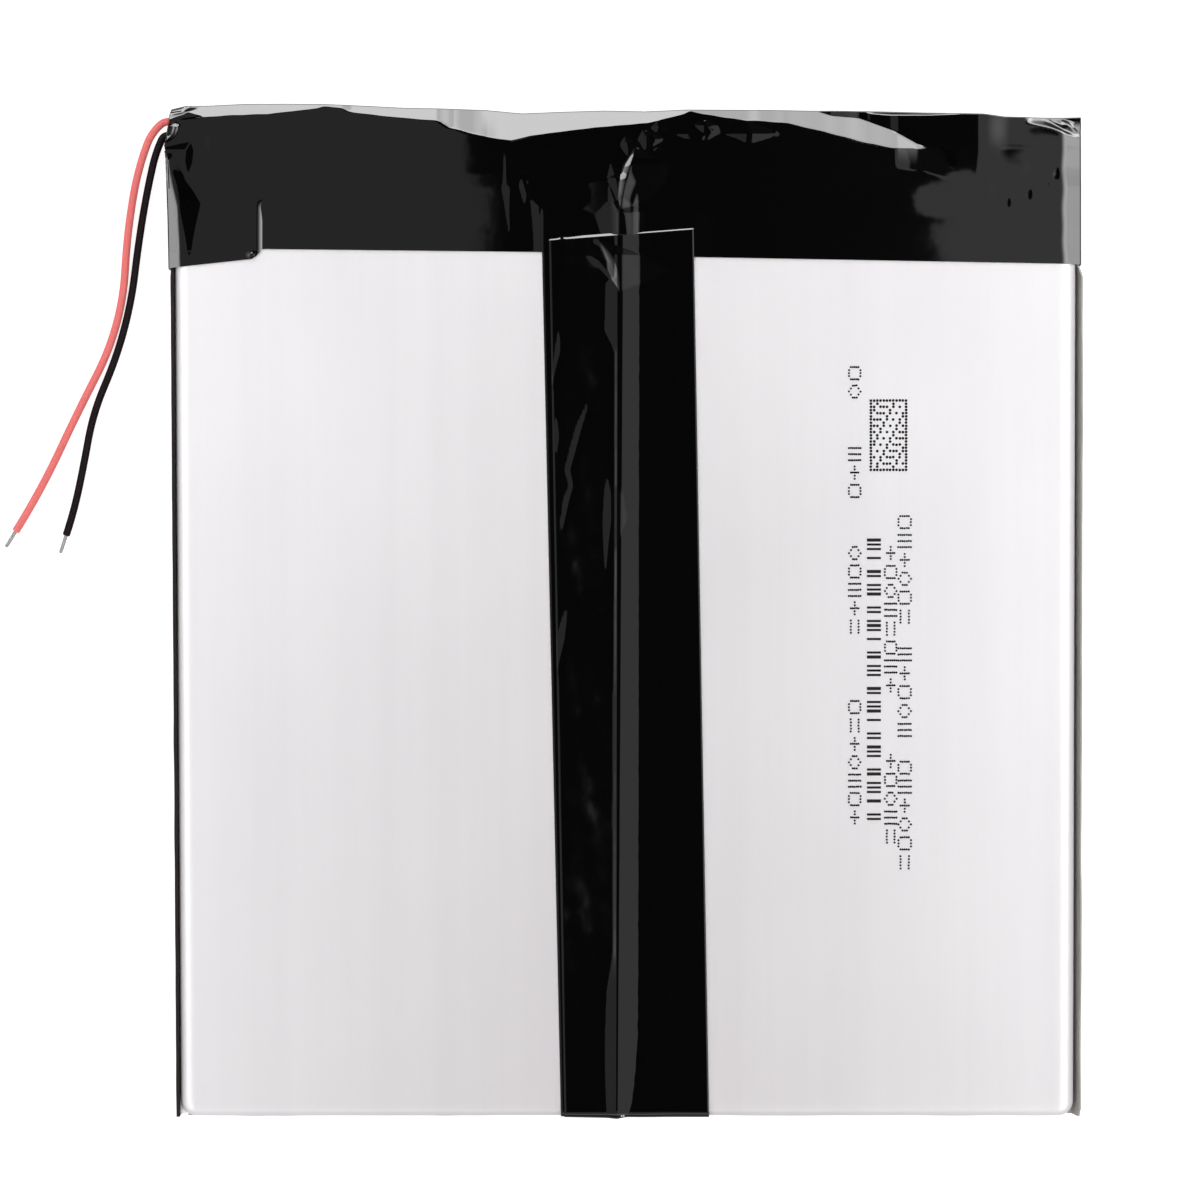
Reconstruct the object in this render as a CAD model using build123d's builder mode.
from build123d import *
import math
import os

"""Flat lithium-ion battery pack: two pouch cells side by side in parallel, joined by a
lengthwise seam tape, with a protection board across the tab end under a tape wrap, and
two flying leads.

Frame: millimetres. The pack lies on its rear face on z = 0. +X runs across the two
cells, +Y runs along the cells towards the tabs and the leads, +Z is the thickness and
points out of the front (formed) faces. The origin is the centre of the rear face.
"""

os.makedirs("parts", exist_ok=True)

# ---------------------------------------------------------------- pack and pouches
PACK_L = 133.3            # bottom of the seam tape to the closed end of the wrap
Y_END = PACK_L / 2        # closed end of the header wrap
TAPE_T = 0.08             # polyester tape with its adhesive
FILM_T = 0.11             # aluminium laminate pouch film
SEAL_T = 0.10             # one layer of the film where it is pressed in a side seal
SEAM_X = -0.45            # plane between the two cells
SEAM_HALF = 0.32          # from that plane to the wall of each cup
CUP_W = 58.9              # formed cup, wall to wall
CELL_T = 3.70             # one bare cell
CORNER_R = 2.0            # vertical corners of the cup
SHOULDER_R = 1.2          # front edges of the cup

Z_REAR = 2 * TAPE_T                 # rear of the pouch covers, on two tape layers
Z_SEAL = Z_REAR + FILM_T            # plane between cover and cup flange
Z_FRONT = Z_REAR + CELL_T           # front of the cups
Y_FOOT = -Y_END + 2 * TAPE_T        # bottom fold of the pouches
Y_CUP = 61.3                        # top wall of the cups
Y_TERRACE = 65.3                    # end of the top seal
Y_EAR = Y_FOOT - 0.06               # outer side seals reach a little past the bottom fold
Y_FLAP = Y_CUP - CORNER_R           # upper end of the side seals
FLAP_TOP = 3.72                     # outer side seals, folded up beside the walls
FLAP_GAP = 0.08                     # cup wall to folded side seal
RIDGE_TOP = 4.20                    # seals between the cells stand proud of the front

left_x0 = SEAM_X - SEAM_HALF - CUP_W
left_x1 = SEAM_X - SEAM_HALF
right_x0 = SEAM_X + SEAM_HALF
right_x1 = right_x0 + CUP_W
# x0, x1: cup walls. flaps: (wall x, outward direction, top z, lean) and lower end y
CELLS = {
    "left": (left_x0, left_x1, [((left_x0, -1, FLAP_TOP, 0.0), Y_EAR),
                                ((left_x1, +1, RIDGE_TOP, 0.0), Y_FOOT)]),
    "right": (right_x0, right_x1, [((right_x0, -1, RIDGE_TOP, 0.0), Y_FOOT),
                                   ((right_x1, +1, FLAP_TOP, 0.95), Y_EAR)]),
}

# ---------------------------------------------------------------- tabs
TAB_W = 6.0
TAB_T = 0.10
TAB_OFF = 15.0            # tab centre from the cell's centre plane
SEALANT_T = 0.05          # film above and below each tab
SEALANT_HW = 3.8
SEALANT_GAP = 0.005
TAB_Z = Z_SEAL + SEALANT_T + 2 * SEALANT_GAP             # lower face of the tab in the seal
BUMP_Z = TAB_Z + TAB_T + SEALANT_T + 2 * SEALANT_GAP     # cup flange's underside over a tab
BUMP_HW = 4.0
BUMP_RAMP = 0.6

# ---------------------------------------------------------------- electrode stack
SEP_T = 0.02
GAP = 0.004               # between neighbouring layers of the stack
SEP_W, SEP_Y0, SEP_Y1 = 56.6, -64.9, 57.4
FOIL_T = 0.03
EAR_W = 5.0
EAR_END = 60.4
STACK_TAPE_T = 0.03
STACK_TAPE_W = 10.0
STACK_TAPE_Y = (-48.0, 0.0, 44.0)   # centres of the adhesive bands
# first: index of the lowest sheet in PLATE_Z, tab: side of the cell's centre plane
ELECTRODES = {
    "anode": dict(first=0, t=0.135, width=56.0, y0=-64.5, y1=56.8, tab=+1),
    "cathode": dict(first=1, t=0.13, width=55.0, y0=-63.9, y1=56.2, tab=-1),
}
N_PLATES = 11 + 10        # anodes and cathodes, alternating, an anode at each face

SEP_Z, PLATE_Z = [0.31], []         # undersides of separator layers and electrode sheets
for k in range(N_PLATES):
    kind = "cathode" if k % 2 else "anode"
    PLATE_Z.append(SEP_Z[-1] + SEP_T + GAP)
    SEP_Z.append(PLATE_Z[-1] + ELECTRODES[kind]["t"] + GAP)

# ---------------------------------------------------------------- protection board
BOARD_X = 57.5            # half length
BOARD_Y0, BOARD_Y1 = 61.6, 65.4
BOARD_YM = (BOARD_Y0 + BOARD_Y1) / 2
BOARD_Z0, BOARD_T = 0.76, 0.60
Z_BOARD = BOARD_Z0 + BOARD_T
Z_PAD = Z_BOARD + 0.05    # top of the copper
PLATE_Y = 63.45           # centreline of the weld plates and their pads
PLATE_T = 0.15
WELD_PAD_HW = 3.5

TAB_X = [(x0 + x1) / 2 + s * TAB_OFF for x0, x1, _ in CELLS.values() for s in (-1, 1)]
POSITIVE_X, NEGATIVE_X = TAB_X[::2], TAB_X[1::2]

# xs: centres; size: body; rows, pitch: pins along each side; pad_x: pad from centre;
# pad_hw: half width of a pad; reach: pin length from the body
SWITCHES = dict(xs=[x + step for x in POSITIVE_X for step in (10.5, 18.3)],
                size=(4.4, 3.0, 0.96), rows=4, pitch=0.65,
                pad_x=2.9, pad_hw=0.15, pin_w=0.22, reach=0.95)
PROTECTION = dict(xs=[0.2], size=(1.7, 2.9, 1.0), rows=3, pitch=0.95,
                  pad_x=1.35, pad_hw=0.2, pin_w=0.36, reach=0.75)
CHIPS = (SWITCHES, PROTECTION)
CHIP_LIFT = 0.06          # copper to the underside of a chip

# centres and body height of the two-terminal parts
PASSIVES = {
    "chip_resistors": ([-9.5, -6.9, 4.4], 0.43),
    "chip_capacitors": ([-4.3, 7.0], 0.78),
}
PASSIVE_W, PASSIVE_L = 0.8, 1.1
CAP_OVER = 0.01           # end caps stand out this far round the body

# ---------------------------------------------------------------- tapes
RIDGE_FOOT = 2.3          # half width of the ridge at its foot
RIDGE_CREST = 0.42        # half width of its crest
SHEET_X = 30.0            # half width of a seam tape before it is trimmed to a strip
STRIP_W = 19.1            # seam tape width
WRAP_X = 60.35            # outer side of the header wrap
WRAP_Y0 = 46.7            # lower edge of the header wrap
Z_WRAP = Z_FRONT + 2 * TAPE_T
Z_END = 3.05              # height of the wrap at its closed end

# ---------------------------------------------------------------- leads
JACKET_R = 0.55
BORE_R = 0.27
CORE_R = 0.25
LEAD_Z = 1.96
PIVOT_X = -61.3           # where the leads flex as they leave the wrap
PIVOT_GAP = 0.01          # between a round nose and the piece before it
ROOT_X0 = PIVOT_X + JACKET_R + PIVOT_GAP
JACKET_END_X, CORE_END_X = -53.05, -50.5     # inner ends, at the solder joints
TIP_L = 2.4               # bare, tinned length of each lead
NECK = 0.70               # solid length of a segment before its bore begins
CORE_GAP = 0.02           # end of the neck to the start of the core
LEAD_IN = 0.2             # straight run after the neck

# y: line inside the wrap; joint: solder centre (x, y); aim: point that sets the heading;
# near, far: (x, y, z) points along the lead, before and after the knee
LEADS = {
    "red": dict(
        y=65.15, joint=(-51.6, 64.75), aim=(-62.1, 64.38, 1.94),
        near=[(-63.5, 62.2, 1.78), (-65.4, 55.6, 1.05), (-66.6, 45.6, 0.6),
              (-70.3, 31.8, 0.6)],
        far=[(-75.2, 21.8, 0.6), (-81.15, 10.85, 0.6)]),
    "black": dict(
        y=63.35, joint=(-51.6, 63.15), aim=(-61.75, 62.35, 1.94),
        near=[(-62.75, 59.4, 1.72), (-64.3, 52.0, 0.95), (-65.3, 45.2, 0.6),
              (-69.0, 31.0, 0.6)],
        far=[(-71.5, 23.0, 0.6), (-72.7, 16.8, 0.6), (-74.45, 10.3, 0.6)]),
}


# ================================================================ helpers
def sheet(points, t):
    """Closed outline of a sheet of thickness t centred on a path, with mitred bends."""
    normals = []
    for (ax, ay), (bx, by) in zip(points, points[1:]):
        length = math.hypot(bx - ax, by - ay)
        normals.append((-(by - ay) / length, (bx - ax) / length))
    before = normals[:1] + normals
    after = normals + normals[-1:]

    def edge(offset):
        line = []
        for (x, y), n1, n2 in zip(points, before, after):
            k = 1 + n1[0] * n2[0] + n1[1] * n2[1]
            line.append((x + (n1[0] + n2[0]) / k * offset, y + (n1[1] + n2[1]) / k * offset))
        return line

    return edge(t / 2) + edge(-t / 2)[::-1]


def xz(y_top):
    """Sketch plane whose local axes are X and Z, at y_top; extrude runs towards -Y."""
    return Plane.XZ.offset(-y_top)


def outline(points):
    """A closed face from an outline, inside the open sketch."""
    Polygon(*points, align=None)


def slab(x0, x1, y0, y1, z0, z1, mode=Mode.ADD):
    """A rectangular block between two corners, inside the open part."""
    with Locations(((x0 + x1) / 2, (y0 + y1) / 2, (z0 + z1) / 2)):
        Box(x1 - x0, y1 - y0, z1 - z0, mode=mode)


def rod(x, y, length, radius, mode=Mode.ADD):
    """A cylinder along X at lead height, centred on x, inside the open part."""
    with Locations(Location((x, y, LEAD_Z), (0, 90, 0))):
        Cylinder(radius, length, mode=mode)


def write(part, label):
    part.label = label
    export_step(part, f"parts/{label}.step")


# ================================================================ the two cells
def inner_flap(wall, sign, top, lean):
    """Cup film layer of a side seal folded up beside the wall; sign points outward."""
    near = FLAP_GAP
    far = near + SEAL_T
    profile = [(-0.06, Z_SEAL), (far, Z_SEAL), (far + lean, top), (near + lean, top),
               (near + lean * 0.03, Z_SEAL + FILM_T), (-0.06, Z_SEAL + FILM_T)]
    return [(wall + sign * d, z) for d, z in profile]


def outer_flap(wall, sign, top, lean):
    """Cover film layer of the same seal, outside the cup film layer."""
    near = FLAP_GAP + SEAL_T
    far = near + SEAL_T
    profile = [(-0.5, Z_REAR), (far, Z_REAR), (far + lean, top), (near + lean, top),
               (near, Z_SEAL), (-0.5, Z_SEAL)]
    return [(wall + sign * d, z) for d, z in profile]


def cup_cavity(xm):
    """Hollow of the cup, run out below the flange so that it cuts cleanly."""
    below = 0.5
    with BuildPart() as cavity:
        with BuildSketch(Plane.XY.offset(Z_SEAL - below)):
            with Locations((xm, (Y_FOOT + Y_CUP) / 2)):
                RectangleRounded(CUP_W - 2 * FILM_T, Y_CUP - Y_FOOT - 2 * FILM_T,
                                 CORNER_R - FILM_T)
        extrude(amount=Z_FRONT - FILM_T - Z_SEAL + below)
        fillet(cavity.faces().sort_by(Axis.Z)[-1].edges(), SHOULDER_R - FILM_T)
    return cavity.part


def pouch_cup(x0, x1, flaps):
    """Formed front half of the pouch: cup, top seal land, inner layers of the seals."""
    xm = (x0 + x1) / 2
    tabs = (xm - TAB_OFF, xm + TAB_OFF)
    cavity = cup_cavity(xm)
    # underside of the top seal land, riding over both tabs
    under = [(x0 + CORNER_R, Z_SEAL)]
    for tx in tabs:
        under += [(tx - BUMP_HW - BUMP_RAMP, Z_SEAL), (tx - BUMP_HW, BUMP_Z),
                  (tx + BUMP_HW, BUMP_Z), (tx + BUMP_HW + BUMP_RAMP, Z_SEAL)]
    under += [(x1 - CORNER_R, Z_SEAL)]

    with BuildPart() as cup:
        with BuildSketch(Plane.XY.offset(Z_SEAL)):
            with Locations((xm, (Y_FOOT + Y_CUP) / 2)):
                RectangleRounded(CUP_W, Y_CUP - Y_FOOT, CORNER_R)
        extrude(amount=Z_FRONT - Z_SEAL)
        fillet(cup.faces().sort_by(Axis.Z)[-1].edges(), SHOULDER_R)
        for flap, y_low in flaps:
            with BuildSketch(xz(Y_FLAP)):
                outline(inner_flap(*flap))
            extrude(amount=Y_FLAP - y_low)
        add(cavity, mode=Mode.SUBTRACT)
        # openings in the top wall for the tabs
        for tx in tabs:
            slab(tx - BUMP_HW, tx + BUMP_HW, Y_CUP - 0.3, Y_CUP + 0.1, Z_SEAL - 0.1, BUMP_Z,
                 mode=Mode.SUBTRACT)
        with BuildSketch(xz(Y_TERRACE)):
            outline(under + [(x, z + FILM_T) for x, z in under[::-1]])
        extrude(amount=Y_TERRACE - Y_CUP + 0.08)
    return cup.part


def pouch_cover(x0, x1, flaps):
    """Flat rear half of the pouch with the outer layers of the side seals."""
    with BuildPart() as cover:
        slab(x0, x1, Y_FOOT, Y_CUP, Z_REAR, Z_SEAL)
        slab(x0 + CORNER_R, x1 - CORNER_R, Y_CUP - 0.1, Y_TERRACE, Z_REAR, Z_SEAL)
        for flap, y_low in flaps:
            with BuildSketch(xz(Y_FLAP)):
                outline(outer_flap(*flap))
            extrude(amount=Y_FLAP - y_low)
    return cover.part


def separator(xm):
    """One ribbon folded back and forth between the electrode sheets."""
    reach = SEP_W / 2 - SEP_T / 2
    path = []
    for k, z in enumerate(SEP_Z):
        side = 1 if k % 2 else -1
        path += [(xm + side * reach, z + SEP_T / 2), (xm - side * reach, z + SEP_T / 2)]
    with BuildPart() as ribbon:
        with BuildSketch(xz(SEP_Y1)):
            outline(sheet(path, SEP_T))
        extrude(amount=SEP_Y1 - SEP_Y0)
    return ribbon.part


def electrode_sheets(xm, first, t, width, y0, y1, tab):
    """Electrode sheets, each with its foil ear bent to the tab weld."""
    undersides = PLATE_Z[first::2]
    with BuildPart() as sheets:
        with Locations(*[(xm, (y0 + y1) / 2, z + t / 2) for z in undersides]):
            Box(width, y1 - y0, t)
        with BuildSketch(Plane.YZ.offset(xm + tab * TAB_OFF - EAR_W / 2)):
            for i, z in enumerate(undersides):
                z_sheet = z + t / 2 - FOIL_T / 2
                z_weld = TAB_Z + TAB_T + 0.01 + i * (FOIL_T + 0.002)
                lower = [(y1 - 0.4, z_sheet), (SEP_Y1 + 0.06, z_sheet),
                         (SEP_Y1 + 1.2, z_weld), (EAR_END, z_weld)]
                outline(lower + [(y, z_low + FOIL_T) for y, z_low in lower[::-1]])
        extrude(amount=EAR_W)
    return sheets.part


def stack_tapes(xm):
    """Adhesive bands that hold the stack together."""
    z0, z1 = SEP_Z[0], SEP_Z[-1] + SEP_T
    width, height = SEP_W + 2 * GAP, z1 - z0 + 2 * GAP
    with BuildPart() as tapes:
        for y in STACK_TAPE_Y:
            with BuildSketch(xz(y + STACK_TAPE_W / 2)):
                with Locations((xm, (z0 + z1) / 2)):
                    Rectangle(width + 2 * STACK_TAPE_T, height + 2 * STACK_TAPE_T)
                    Rectangle(width, height, mode=Mode.SUBTRACT)
            extrude(amount=STACK_TAPE_W)
    return tapes.part


def cell_tab(tx):
    """Tab: out through the top seal, up past the board's edge, back over its plate."""
    z_seal = TAB_Z + TAB_T / 2
    z_weld = Z_PAD + PLATE_T + 0.005 + TAB_T / 2
    y_bend = 65.8
    with BuildPart() as tab:
        with BuildSketch(Plane.YZ.offset(tx - TAB_W / 2)):
            outline(sheet([(58.7, z_seal), (y_bend, z_seal), (y_bend, z_weld),
                           (62.9, z_weld)], TAB_T))
        extrude(amount=TAB_W)
    return tab.part


def tab_seal_films(xm):
    """Sealant films below and above each tab, across the top seal."""
    with BuildPart() as films:
        for tx in (xm - TAB_OFF, xm + TAB_OFF):
            for z in (Z_SEAL + SEALANT_GAP, TAB_Z + TAB_T + SEALANT_GAP):
                slab(tx - SEALANT_HW, tx + SEALANT_HW, 60.9, 65.5, z, z + SEALANT_T)
    return films.part


for side, (x0, x1, flaps) in CELLS.items():
    xm = (x0 + x1) / 2
    write(pouch_cup(x0, x1, flaps), f"{side}_pouch_cup")
    write(pouch_cover(x0, x1, flaps), f"{side}_pouch_cover")
    write(separator(xm), f"{side}_separator")
    for kind, electrode in ELECTRODES.items():
        write(electrode_sheets(xm, **electrode), f"{side}_{kind}_sheets")
    write(stack_tapes(xm), f"{side}_stack_tapes")
    write(cell_tab(xm - TAB_OFF), f"{side}_positive_tab")
    write(cell_tab(xm + TAB_OFF), f"{side}_negative_tab")
    write(tab_seal_films(xm), f"{side}_tab_seal_films")


# ================================================================ protection board
def protection_board():
    with BuildPart() as board:
        slab(-BOARD_X, BOARD_X, BOARD_Y0, BOARD_Y1, BOARD_Z0, Z_BOARD)
        fillet(board.edges().filter_by(Axis.Z), 0.4)
    return board.part


def pin_rows(chip):
    """Y of each pin along one side of a chip."""
    middle = (chip["rows"] - 1) / 2
    return [BOARD_YM + chip["pitch"] * (k - middle) for k in range(chip["rows"])]


def copper_pads():
    pads = [(x - WELD_PAD_HW, x + WELD_PAD_HW, PLATE_Y - 1.1, PLATE_Y + 1.1) for x in TAB_X]
    # positive and negative tracks, then their links to the weld pads
    pads += [(-50.0, POSITIVE_X[1] + WELD_PAD_HW, 64.85, 65.2),
             (NEGATIVE_X[0] - WELD_PAD_HW, NEGATIVE_X[1] + WELD_PAD_HW, 61.75, 62.05)]
    pads += [(x - 0.6, x + 0.6, 64.5, 64.9) for x in POSITIVE_X]
    pads += [(x - 0.6, x + 0.6, 62.0, 62.4) for x in NEGATIVE_X]
    # red and black lead pads
    pads += [(-52.9, -50.0, 64.25, 65.25), (-52.9, -50.3, 62.6, 63.7)]
    for chip in CHIPS:
        for centre in chip["xs"]:
            for s in (-1, 1):
                x = centre + s * chip["pad_x"]
                half = chip["pad_hw"]
                pads += [(x - 0.35, x + 0.35, y - half, y + half) for y in pin_rows(chip)]
    for xs, _ in PASSIVES.values():
        for x in xs:
            for s in (-1, 1):
                y = BOARD_YM + s * 0.75
                pads.append((x - 0.4, x + 0.4, y - 0.25, y + 0.25))
    with BuildPart() as copper:
        for pad in pads:
            slab(*pad, Z_BOARD, Z_PAD)
    return copper.part


def weld_plates():
    with BuildPart() as plates:
        with Locations(*[(x, PLATE_Y, Z_PAD + PLATE_T / 2) for x in TAB_X]):
            Box(6.6, 2.0, PLATE_T)
    return plates.part


def chip_bodies(chip):
    """Packages with chamfered top edges."""
    height = chip["size"][2]
    with BuildPart() as bodies:
        with Locations(*[(x, BOARD_YM, Z_PAD + CHIP_LIFT + height / 2) for x in chip["xs"]]):
            Box(*chip["size"])
        chamfer(bodies.faces().group_by(Axis.Z)[-1].edges(), 0.12)
    return bodies.part


def gull_wing(x_body, s, reach):
    """Side view of one pin: out of the package, down, and along its pad."""
    z_body, z_foot = Z_PAD + 0.52, Z_PAD + 0.075
    return sheet([(x_body + s * 0.002, z_body), (x_body + s * 0.22, z_body),
                  (x_body + s * 0.38, z_foot), (x_body + s * reach, z_foot)], 0.13)


def chip_pins():
    with BuildPart() as pins:
        for chip in CHIPS:
            for y in pin_rows(chip):
                with BuildSketch(xz(y + chip["pin_w"] / 2)):
                    for x in chip["xs"]:
                        for s in (-1, 1):
                            outline(gull_wing(x + s * chip["size"][0] / 2, s, chip["reach"]))
                extrude(amount=chip["pin_w"])
    return pins.part


def passive_bodies(xs, height):
    with BuildPart() as bodies:
        with Locations(*[(x, BOARD_YM, Z_PAD + CAP_OVER + height / 2) for x in xs]):
            Box(PASSIVE_W, PASSIVE_L, height)
    return bodies.part


def chip_end_caps():
    """Metal caps at both ends of every resistor and capacitor."""
    half = PASSIVE_W / 2 + CAP_OVER
    with BuildPart() as caps:
        for xs, height in PASSIVES.values():
            for x in xs:
                for s in (-1, 1):
                    y0, y1 = sorted((BOARD_YM + s * PASSIVE_L / 2, BOARD_YM + s * 0.85))
                    slab(x - half, x + half, y0, y1, Z_PAD, Z_PAD + height + 2 * CAP_OVER)
    return caps.part


def solder_joints():
    with BuildPart() as joints:
        for lead in LEADS.values():
            with BuildSketch(Plane.XY.offset(Z_PAD)):
                with Locations(lead["joint"]):
                    RectangleRounded(2.1, 0.9, 0.4)
            extrude(amount=0.82, taper=12)
            rod(lead["joint"][0], lead["y"], 6.0, CORE_R + 0.002, mode=Mode.SUBTRACT)
    return joints.part


def insulator_strip():
    """Strip under the board."""
    with BuildPart() as strip:
        slab(-BOARD_X, BOARD_X, 61.45, 65.45, 0.62, 0.74)
    return strip.part


def insulation_tape():
    """Tape over the components and down past the board's edge."""
    with BuildPart() as tape:
        with BuildSketch(Plane.YZ.offset(-BOARD_X)):
            outline(sheet([(61.5, 2.56), (66.05, 2.56), (66.05, 0.30)], 0.06))
        extrude(amount=2 * BOARD_X)
    return tape.part


write(protection_board(), "protection_board")
write(copper_pads(), "board_copper_pads")
write(weld_plates(), "board_weld_plates")
write(chip_bodies(SWITCHES), "power_switch_chips")
write(chip_bodies(PROTECTION), "protection_chip")
write(chip_pins(), "chip_pins")
for label, (xs, height) in PASSIVES.items():
    write(passive_bodies(xs, height), label)
write(chip_end_caps(), "chip_end_caps")
write(solder_joints(), "solder_joints")
write(insulator_strip(), "board_insulator_strip")
write(insulation_tape(), "board_insulation_tape")


# ================================================================ tapes
def ridge_line(layers):
    """Front surface over a number of tape layers: flat, over the ridge of seals, flat."""
    z = Z_FRONT + layers * TAPE_T
    crest = RIDGE_TOP + 0.02 + layers * TAPE_T
    return [(-SHEET_X, z), (SEAM_X - RIDGE_FOOT, z), (SEAM_X - RIDGE_CREST, crest),
            (SEAM_X + RIDGE_CREST, crest), (SEAM_X + RIDGE_FOOT, z), (SHEET_X, z)]


def front_layer(lower, upper):
    """Section of tape between two layer counts on the front."""
    return ridge_line(lower) + ridge_line(upper)[::-1]


def bottom_layer(z0, upper):
    """Section of the tape turned round the bottom of the pack."""
    return [(-SHEET_X, z0), (SHEET_X, z0)] + ridge_line(upper)[::-1]


def strip_outline(mid_x, tilt, y1, end_lean=0.0):
    """Plan outline of a seam tape laid askew, from below the pack to a skewed upper end.
    mid_x is its centreline at y = 0, tilt and end_lean are in degrees."""
    y0 = -70
    lean = math.tan(math.radians(tilt))
    half = STRIP_W / 2
    skew = math.tan(math.radians(end_lean)) * half
    outline([(mid_x + lean * y0 - half, y0), (mid_x + lean * y0 + half, y0),
             (mid_x + lean * y1 + half, y1 + skew), (mid_x + lean * y1 - half, y1 - skew)])


def inner_seam_tape():
    """First seam tape, straight on the cells: front, round the bottom, up the back."""
    y_top, y_out = 60.5, Y_FOOT - TAPE_T
    with BuildPart() as tape:
        with BuildSketch(xz(y_top)):
            outline(front_layer(0, 1))
        extrude(amount=y_top - y_out)
        with BuildSketch(xz(Y_FOOT)):
            outline(bottom_layer(TAPE_T, 1))
        extrude(amount=TAPE_T)
        slab(-SHEET_X, SHEET_X, y_out, y_top, TAPE_T, 2 * TAPE_T)
        # trim to the strip
        with BuildSketch(Plane.XY.offset(-1)):
            strip_outline(mid_x=-0.49, tilt=-1.25, y1=62)
        extrude(amount=8, mode=Mode.INTERSECT)
    return tape.part


def outer_seam_tape():
    """Second seam tape, over the first and over the lower edge of the header wrap."""
    y_top, y_out = 54.0, Y_FOOT - 2 * TAPE_T
    y_step = WRAP_Y0 - 0.02           # where it climbs onto the wrap
    with BuildPart() as tape:
        with BuildSketch(xz(y_step)):
            outline(front_layer(1, 2))
        extrude(amount=y_step - y_out)
        with BuildSketch(xz(y_step)):
            outline(front_layer(1, 3))
        extrude(amount=TAPE_T)
        with BuildSketch(xz(y_top)):
            outline(front_layer(2, 3))
        extrude(amount=y_top - (WRAP_Y0 - 0.1))
        with BuildSketch(xz(y_out + TAPE_T)):
            outline(bottom_layer(0.0, 2))
        extrude(amount=TAPE_T)
        slab(-SHEET_X, SHEET_X, y_out, WRAP_Y0 - 0.6, 0, TAPE_T)
        # trim to the strip
        with BuildSketch(Plane.XY.offset(-1)):
            strip_outline(mid_x=0.26, tilt=-1.0, y1=50.25, end_lean=4.4)
        extrude(amount=8, mode=Mode.INTERSECT)
    return tape.part


def wrap_band(inset, layers):
    """Section across the header wrap's band, following the ridge."""
    half, z = WRAP_X - inset, Z_FRONT + layers * TAPE_T
    return ([(-half, inset), (half, inset), (half, z)] + ridge_line(layers)[-2:0:-1]
            + [(-half, z)])


def wrap_end(y0, inset):
    """Side view of the wrap's end, sloping down to its closed edge."""
    return [(y0, inset), (Y_END - inset, inset), (Y_END - inset, Z_END - inset),
            (Y_CUP + 0.3, Z_WRAP - inset), (y0, Z_WRAP - inset)]


def wrap_inside():
    """Space inside the header wrap."""
    half = WRAP_X - TAPE_T
    with BuildPart() as inside:
        with BuildSketch(xz(Y_CUP + 0.12)):
            outline(wrap_band(TAPE_T, 1))
        extrude(amount=30)
        with BuildSketch(Plane.YZ.offset(-half)):
            outline(wrap_end(Y_CUP - 2, TAPE_T))
        extrude(amount=2 * half)
    return inside.part


def header_wrap_tape():
    """A band of tape round the tab end, folded shut over the board."""
    inside = wrap_inside()
    lap_x0, lap_x1 = -WRAP_X - TAPE_T, -48.05
    lap_y0, lap_y1 = 46.2, Y_CUP - 0.3
    lap_z = Z_WRAP + TAPE_T
    with BuildPart() as wrap:
        with BuildSketch(xz(Y_CUP + 0.2)):
            outline(wrap_band(0, 2))
        extrude(amount=Y_CUP + 0.2 - WRAP_Y0)
        with BuildSketch(Plane.YZ.offset(-WRAP_X)):
            outline(wrap_end(Y_CUP, 0))
        extrude(amount=2 * WRAP_X)
        # the tape's outer end overlaps its start at the front left
        slab(lap_x0, lap_x1, lap_y0, lap_y1, Z_WRAP, lap_z)
        slab(lap_x0, -WRAP_X, lap_y0, lap_y1, 0.4, lap_z)
        slab(lap_x0, lap_x1, lap_y0, WRAP_Y0 + 0.2, Z_WRAP - 0.001, lap_z)
        add(inside, mode=Mode.SUBTRACT)
        for lead in LEADS.values():
            rod(-WRAP_X, lead["y"], 2.0, JACKET_R + 0.06, mode=Mode.SUBTRACT)
    return wrap.part


write(inner_seam_tape(), "inner_seam_tape")
write(outer_seam_tape(), "outer_seam_tape")
write(header_wrap_tape(), "header_wrap_tape")


# ================================================================ leads
def jacket_root(y):
    """Jacket inside the wrap, from the solder joint to the flexing point."""
    middle, length = (ROOT_X0 + JACKET_END_X) / 2, JACKET_END_X - ROOT_X0
    with BuildPart() as jacket:
        rod(middle, y, length, JACKET_R)
        rod(middle, y, length + 1, BORE_R, mode=Mode.SUBTRACT)
    return jacket.part


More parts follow.
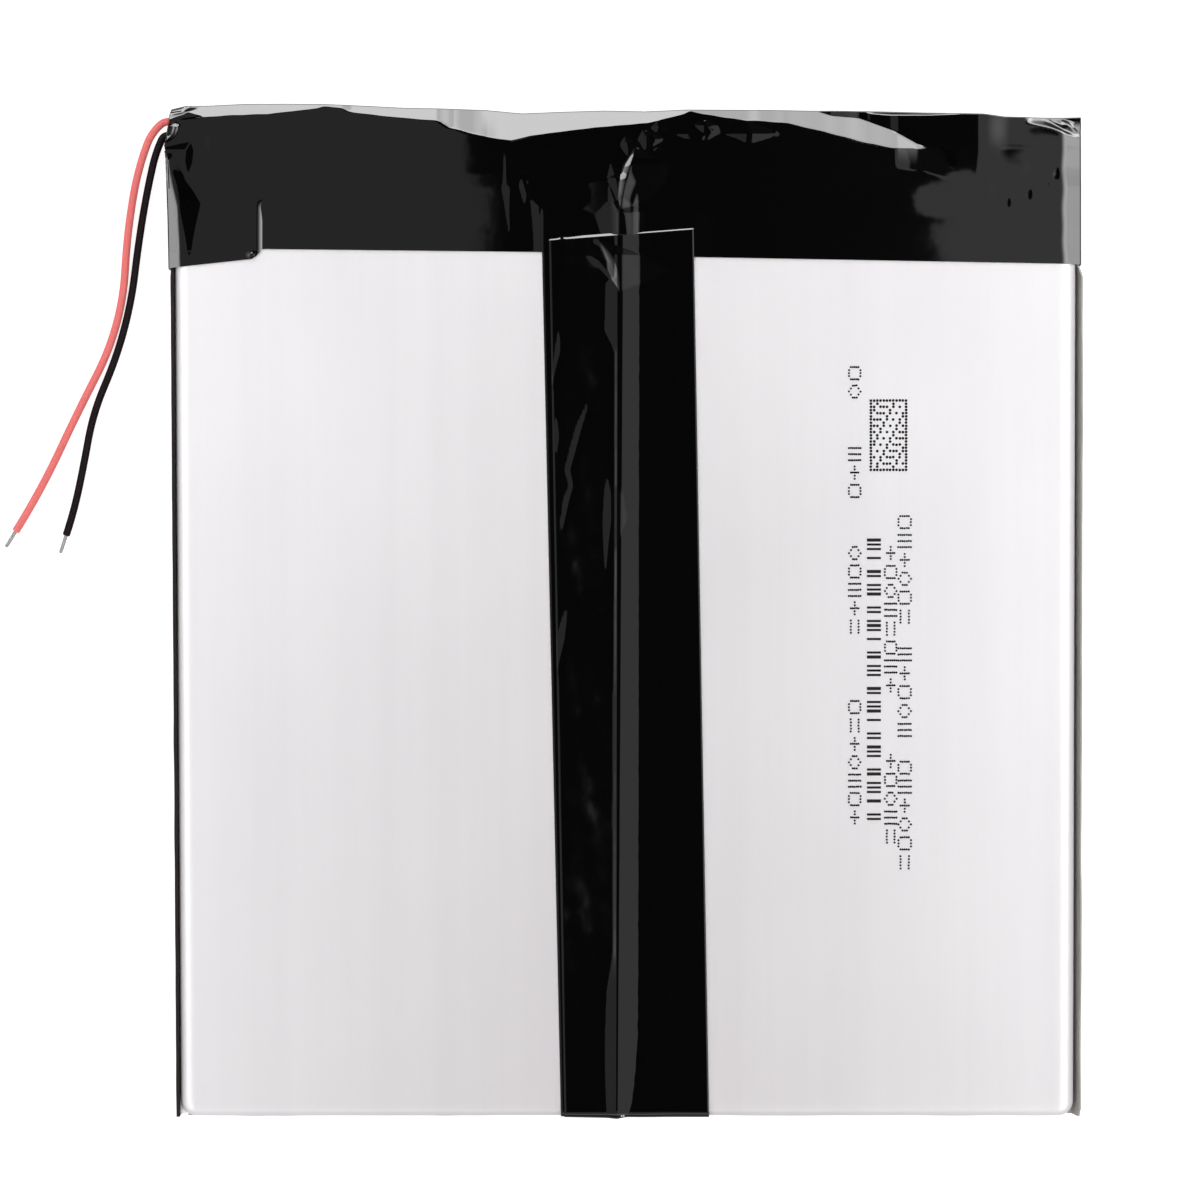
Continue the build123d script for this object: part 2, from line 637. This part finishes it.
def core_root(y):
    with BuildPart() as core:
        rod((ROOT_X0 + CORE_END_X) / 2, y, CORE_END_X - ROOT_X0, CORE_R)
    return core.part


def lead_run(start, heading, points):
    """A short straight past the neck, then tangent arcs through the points."""
    run = [Line(start + heading * NECK, start + heading * (NECK + LEAD_IN))]
    for point in points:
        run.append(TangentArc(run[-1] @ 1, Vector(*point), tangent=run[-1] % 1))
    return run


def lead_jacket(start, heading, run):
    """Round nose about the flexing point, a short solid neck, then the bored length."""
    with BuildPart() as jacket:
        with BuildSketch(Plane(origin=start, z_dir=heading)):
            Circle(JACKET_R)
        extrude(amount=NECK)
        with Locations(Location(start)):
            Sphere(JACKET_R)
        with BuildSketch(Plane(origin=start + heading * NECK, z_dir=heading)):
            Circle(JACKET_R)
            Circle(BORE_R, mode=Mode.SUBTRACT)
        with BuildLine() as path:
            add(run)
        sweep(path=path.line)
    return jacket.part


def lead_core(start, heading, run, bare):
    """Core along the run, continuing straight for the bare length."""
    core_start = start + heading * (NECK + CORE_GAP)
    end = run[-1] @ 1
    with BuildPart() as core:
        with BuildSketch(Plane(origin=core_start, z_dir=heading)):
            Circle(CORE_R)
        with BuildLine() as path:
            Line(core_start, start + heading * (NECK + LEAD_IN))
            add(run[1:])
            if bare:
                Line(end, end + (run[-1] % 1) * bare)
        sweep(path=path.line)
    return core.part


for colour, lead in LEADS.items():
    write(jacket_root(lead["y"]), f"{colour}_lead_jacket_root")
    write(core_root(lead["y"]), f"{colour}_lead_core_root")
    start = Vector(PIVOT_X, lead["y"], LEAD_Z)
    heading = (Vector(*lead["aim"]) - start).normalized()
    for stretch, bare in (("near", 0.0), ("far", TIP_L)):
        run = lead_run(start, heading, lead[stretch])
        write(lead_jacket(start, heading, run), f"{colour}_lead_jacket_{stretch}")
        write(lead_core(start, heading, run, bare), f"{colour}_lead_core_{stretch}")
        # the far stretch starts at the knee, just beyond the end of the near one
        heading = run[-1] % 1
        start = (run[-1] @ 1) + heading * (JACKET_R + PIVOT_GAP)
